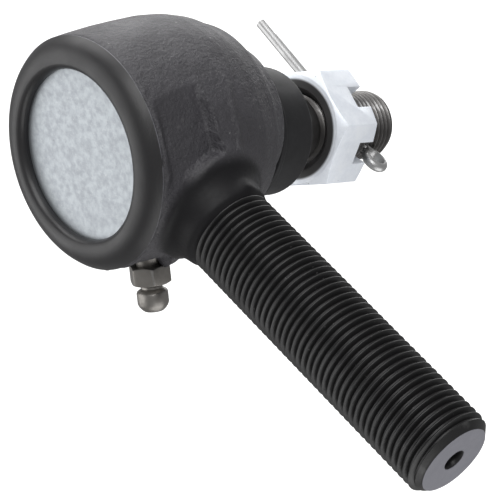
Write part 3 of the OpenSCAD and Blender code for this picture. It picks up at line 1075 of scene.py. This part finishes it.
def make_pin():
    """Cotter pin: one half-round wire folded into an eye, legs left straight."""
    eye_r = 1.9 * MM
    eye_at = STUD_R + eye_r + 1.5 * MM
    long_leg, short_leg = 35 * MM, 30 * MM
    half = 0.04 * MM
    neck = eye_at - eye_r * 1.35
    path = [(-long_leg, half), (neck - 2.5 * MM, half)]
    for i in range(25):
        a = math.radians(205 - 205 * 2 * i / 24)
        path.append((eye_at + eye_r * math.cos(a) * 1.15, eye_r * math.sin(a)))
    path += [(neck - 2.5 * MM, -half), (-short_leg, -half)]
    curve = bpy.data.curves.new("cotter_pin_wire", "CURVE")
    curve.dimensions = "2D"
    curve.fill_mode = "NONE"
    spline = curve.splines.new("POLY")
    spline.points.add(len(path) - 1)
    for point, (x, y) in zip(spline.points, path):
        point.co = (x, y, 0, 1)
    shape = bpy.data.curves.new("half_round", "CURVE")
    shape.dimensions = "2D"
    outline = shape.splines.new("POLY")
    count = 14
    outline.points.add(count)
    for i in range(count + 1):
        a = math.pi * i / count
        outline.points[i].co = (-PIN_R * math.sin(a), PIN_R * math.cos(a), 0, 1)
    outline.use_cyclic_u = True
    shape_obj = bpy.data.objects.new("half_round", shape)
    bpy.context.collection.objects.link(shape_obj)
    curve.bevel_mode = "OBJECT"
    curve.bevel_object = shape_obj
    curve.use_fill_caps = True
    pin = wire_mesh("cotter_pin_wire", curve)
    bpy.data.objects.remove(shape_obj)
    pin.rotation_euler = (math.pi / 2, 0, 0)
    settled(pin)
    pin.rotation_euler = (0, 0, PIN_TURN)
    pin.location = (0, 0, -PIN_HOLE_Z)
    settled(pin)
    tidy_normals(pin, 0.0005 * MM)
    onto_stud(pin)
    smooth(pin, 45)
    return finished(pin, "stud", MATERIALS["pin"], ["cotter_pin"])


# ---------------------------------------------------------------- boot and grease fitting


def make_boot():
    """Moulded dust boot: a rim on the shoulder, a short cone and a rolled small end."""
    dish_r = 31.1 * MM
    inner_r = BOOT_R - 3 * MM
    end_r = BOOT_R - 1.8 * MM
    rim_angle = -math.degrees(math.acos((BOOT_R - 0.6 * MM) / dish_r))
    dish_angle = -math.degrees(math.acos(inner_r / dish_r))
    section = arc_points((0, 0), dish_r, dish_angle, rim_angle, 5)
    section += arc_points((BOOT_R - 0.5 * MM, -BOOT_RIM_Z - 0.3 * MM), 0.5 * MM, 70, 0, 4)
    section += arc_points((BOOT_R - 0.6 * MM, -BOOT_BAND_Z + 1.2 * MM), 0.6 * MM, 0, -80, 5)
    section += [
        (BOOT_R - 1.3 * MM, -BOOT_BAND_Z + 0.5 * MM),
        (BOOT_R - 1.6 * MM, -BOOT_BAND_Z + 0.1 * MM),
        (BOOT_R - 1.7 * MM, -BOOT_BAND_Z - 0.6 * MM),
    ]
    section += arc_points((end_r - 1.2 * MM, -BOOT_END_Z + 1.2 * MM), 1.2 * MM, -5, -90, 6)
    section += [
        (RING_R + 0.1 * MM, -BOOT_END_Z),
        (RING_R + 0.05 * MM, -BOOT_END_Z + 2.0 * MM),
        (RING_R - 0.8 * MM, -BOOT_END_Z + 2.1 * MM),
        (RING_R - 0.8 * MM, -BOOT_END_Z + 2.6 * MM),
        (end_r - 2.1 * MM, -BOOT_END_Z + 2.6 * MM),
        (inner_r, -BOOT_BAND_Z),
    ]
    boot = turned("dust_boot_moulding", section, 128)
    onto_stud(boot)
    smooth(boot, 40)
    boot.data.materials.clear()
    boot.data.materials.append(MATERIALS["rubber"])
    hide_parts("dust_boot")
    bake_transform(boot)
    return boot


def make_ring():
    """Steel ring moulded into the boot's small end, running on the taper."""
    bore = STUD_R + (TAPER_END_Z - BOOT_END_Z + 2 * MM) / 16 + 0.05 * MM
    ring = turned("boot_ring_steel", [
        (bore, -BOOT_END_Z + 2 * MM),
        (RING_R, -BOOT_END_Z + 2 * MM),
        (RING_R, -BOOT_END_Z + 0.2 * MM),
        (RING_R - 0.15 * MM, -BOOT_END_Z - 0.15 * MM),
        (RING_R - 0.5 * MM, -BOOT_END_Z - 0.3 * MM),
        (bore + 0.2 * MM, -BOOT_END_Z - 0.3 * MM),
        (bore, -BOOT_END_Z - 0.1 * MM),
    ], 96)
    onto_stud(ring)
    smooth(ring, 35)
    return finished(ring, "collar", MATERIALS["ring"], ["boot_ring"])


def make_fitting():
    """Grease fitting: threaded root, hexagon, waist and snap-on head."""
    hex_in = DRUM_R + 1.4 * MM
    hex_out = hex_in + 4.1 * MM
    head_in = hex_out + 1.1 * MM
    tip = head_in + 4.9 * MM
    flats = 8 * MM
    body = turned("grease_fitting_body", [
        (0.85 * MM, hex_in - 6 * MM),
        (3.1 * MM, hex_in - 6 * MM),
        (3.1 * MM, hex_in - 2.0 * MM),
        (2.75 * MM, hex_in - 1.4 * MM),
        (2.75 * MM, hex_in + 0.6 * MM),
        (2.75 * MM, hex_out - 0.5 * MM),
        (2.6 * MM, hex_out + 0.3 * MM),
        (2.3 * MM, hex_out + 0.55 * MM),
        (2.3 * MM, head_in - 0.1 * MM),
        (2.6 * MM, head_in + 0.15 * MM),
        (3.2 * MM, head_in + 0.55 * MM),
        (3.35 * MM, head_in + 0.9 * MM),
        (3.35 * MM, tip - 1.7 * MM),
        (3.1 * MM, tip - 1.1 * MM),
        (2.5 * MM, tip - 0.35 * MM),
        (2.1 * MM, tip - 0.05 * MM),
        (1.6 * MM, tip),
        (0.85 * MM, tip),
    ], 64)
    turn_to_x(body)
    nut = cylinder("hexagon", flats / 2 / math.cos(math.radians(30)), hex_in, hex_out, 6)
    nut.rotation_euler = (0, 0, math.radians(30))
    settled(nut)
    cone_r = flats / 2 - 0.1 * MM
    cones = turned("cones", [
        (2.0 * MM, hex_in),
        (cone_r, hex_in),
        (cone_r + 0.9 * MM, hex_in + 0.52 * MM),
        (cone_r + 0.9 * MM, hex_out - 0.52 * MM),
        (cone_r, hex_out),
        (2.0 * MM, hex_out),
    ], 64)
    carved(nut, cones, "INTERSECT")
    tidy_normals(nut)
    rounded(nut, 0.12 * MM, 2, 28)
    turn_to_x(nut)
    nut.name = "grease_fitting_hexagon"
    for piece in (body, nut):
        onto_fitting(piece)
        smooth(piece, 35)
        finished(piece, "housing", MATERIALS["fitting"], ["grease_fitting"])


# ---------------------------------------------------------------- inner pieces


def reach_along(node, direction):
    """The lowest and highest place of a CAD node along a direction."""
    obj = frame["nodes"][node]
    places = [(obj.matrix_world @ v.co).dot(direction) for v in obj.data.vertices]
    return min(places), max(places)


def make_preload_spring():
    """Coned disc between the pressure seat and the cap."""
    low, high = reach_along("preload_spring", Vector((0, 0, 1)))
    disc = turned("coned_disc_spring", [
        (SPRING_IN_R, high - SPRING_THICK),
        (SPRING_OUT_R, low),
        (SPRING_OUT_R, low + SPRING_THICK),
        (SPRING_IN_R, high),
    ], 96)
    rounded(disc, 0.15 * MM, 2, 28)
    smooth(disc, 35)
    finished(disc, "housing", MATERIALS["inner_steel"], ["preload_spring"])
    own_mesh(disc)


def make_check_spring():
    """Coil behind the fitting's check ball."""
    low, high = reach_along("grease_check_spring", FITTING_OUT)
    wire_r, turns, steps = 0.16 * MM, 5, 20
    coil_r = 0.8 * MM
    curve = bpy.data.curves.new("check_spring_coil", "CURVE")
    curve.dimensions = "3D"
    curve.bevel_depth = wire_r
    curve.bevel_resolution = 2
    curve.use_fill_caps = True
    spline = curve.splines.new("POLY")
    count = turns * steps
    spline.points.add(count)
    span = high - low - 2 * wire_r
    for i, point in enumerate(spline.points):
        a = 2 * math.pi * i / steps
        point.co = (low + wire_r + span * i / count, coil_r * math.cos(a), coil_r * math.sin(a), 1)
    coil = wire_mesh("check_spring_coil", curve)
    tidy_normals(coil, 0.0005 * MM)
    onto_fitting(coil)
    smooth(coil, 60)
    finished(coil, "housing", MATERIALS["inner_steel"], ["grease_check_spring"])
    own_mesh(coil)


def finish_inner_pieces():
    """The seats and the check ball are the CAD's own bodies, and only get their materials here."""
    inner = {
        "pressure_seat": "bearing",
        "socket_seat": "bearing",
        "grease_check_ball": "inner_steel",
    }
    for node, material in inner.items():
        obj = frame["nodes"][node]
        if not obj.material_slots:
            obj.data.materials.append(MATERIALS[material])
        for slot in obj.material_slots:
            slot.material = MATERIALS[material]


# ---------------------------------------------------------------- floor, light and camera


def glowing_material(name, value, glow):
    """A light table's surface: pale and evenly lit."""
    material, _, shader = material_start(name)
    shader.inputs["Base Color"].default_value = shade(value)
    shader.inputs["Roughness"].default_value = 0.9
    shader.inputs["Emission Color"].default_value = shade(1.0)
    shader.inputs["Emission Strength"].default_value = glow
    return material


def make_floor():
    clear_selection()
    bpy.ops.mesh.primitive_plane_add(size=FLOOR_SIZE, location=(0, 0, FLOOR_Z))
    floor = bpy.context.object
    floor.name = "floor"
    floor.data.materials.append(glowing_material("pale_floor", 0.8, 0.6))
    floor.visible_diffuse = False
    floor.visible_glossy = False


FLOOR_Z = -0.42
FLOOR_SIZE = 12
LENS = 160.9                             # millimetres, on a 36 mm wide sensor
CAMERA_PLACE = (0.24773, 0.27025, 0.28765)
VIEW_RIGHT = Vector((0.61616, 0.29621, -0.7298)).normalized()
VIEW_AHEAD = Vector((-0.47137, -0.60365, -0.64298))
VIEW_AHEAD = (VIEW_AHEAD - VIEW_RIGHT * VIEW_AHEAD.dot(VIEW_RIGHT)).normalized()
VIEW_UP = VIEW_RIGHT.cross(VIEW_AHEAD)


def area_light(name, right, up, toward, size, power, target=(0.03, 0, 0)):
    """A square soft light, placed by metres right of, above and in front of the object."""
    data = bpy.data.lights.new(name, "AREA")
    data.shape = "SQUARE"
    data.size = size
    data.energy = power
    light = bpy.data.objects.new(name, data)
    bpy.context.collection.objects.link(light)
    place = VIEW_RIGHT * right + VIEW_UP * up - VIEW_AHEAD * toward
    light.location = place
    light.rotation_euler = (Vector(target) - place).to_track_quat("-Z", "Y").to_euler()
    return light


def make_light():
    world = bpy.data.worlds.new("studio")
    bpy.context.scene.world = world
    world.use_nodes = True
    background = world.node_tree.nodes["Background"]
    background.inputs["Color"].default_value = (1.0, 1.0, 1.0, 1.0)
    background.inputs["Strength"].default_value = 0.32
    area_light("left", -0.7, -0.1, 0.02, 0.8, 3.6)
    area_light("top", -0.25, 0.76, -0.05, 0.8, 6.2)
    area_light("back", 0.2, 0.6, -0.65, 0.8, 3.6)
    area_light("below", 0.3, -0.65, 0.1, 0.8, 3.6)
    area_light("front", 0.02, 0.48, 0.8, 0.7, 6.4)


def make_look():
    """A plain display transform, so that the white studio stays white."""
    bpy.context.scene.view_settings.view_transform = "Standard"


def make_camera():
    """A long lens above the shank's side, turned so that the stud's end points right in the frame."""
    data = bpy.data.cameras.new("camera")
    data.sensor_width = 36.0
    data.lens = LENS
    data.clip_start = 0.01
    camera = bpy.data.objects.new("camera", data)
    bpy.context.collection.objects.link(camera)
    turn = Matrix((VIEW_RIGHT, VIEW_UP, -VIEW_AHEAD)).transposed().to_4x4()
    camera.matrix_world = Matrix.Translation(CAMERA_PLACE) @ turn
    bpy.context.scene.camera = camera


make_camera()
make_forging()
make_rim()
make_shank()
make_cap()
make_stud()
make_nut()
make_pin()
make_boot()
make_ring()
make_fitting()
make_preload_spring()
make_check_spring()
finish_inner_pieces()
make_floor()
make_light()
make_look()
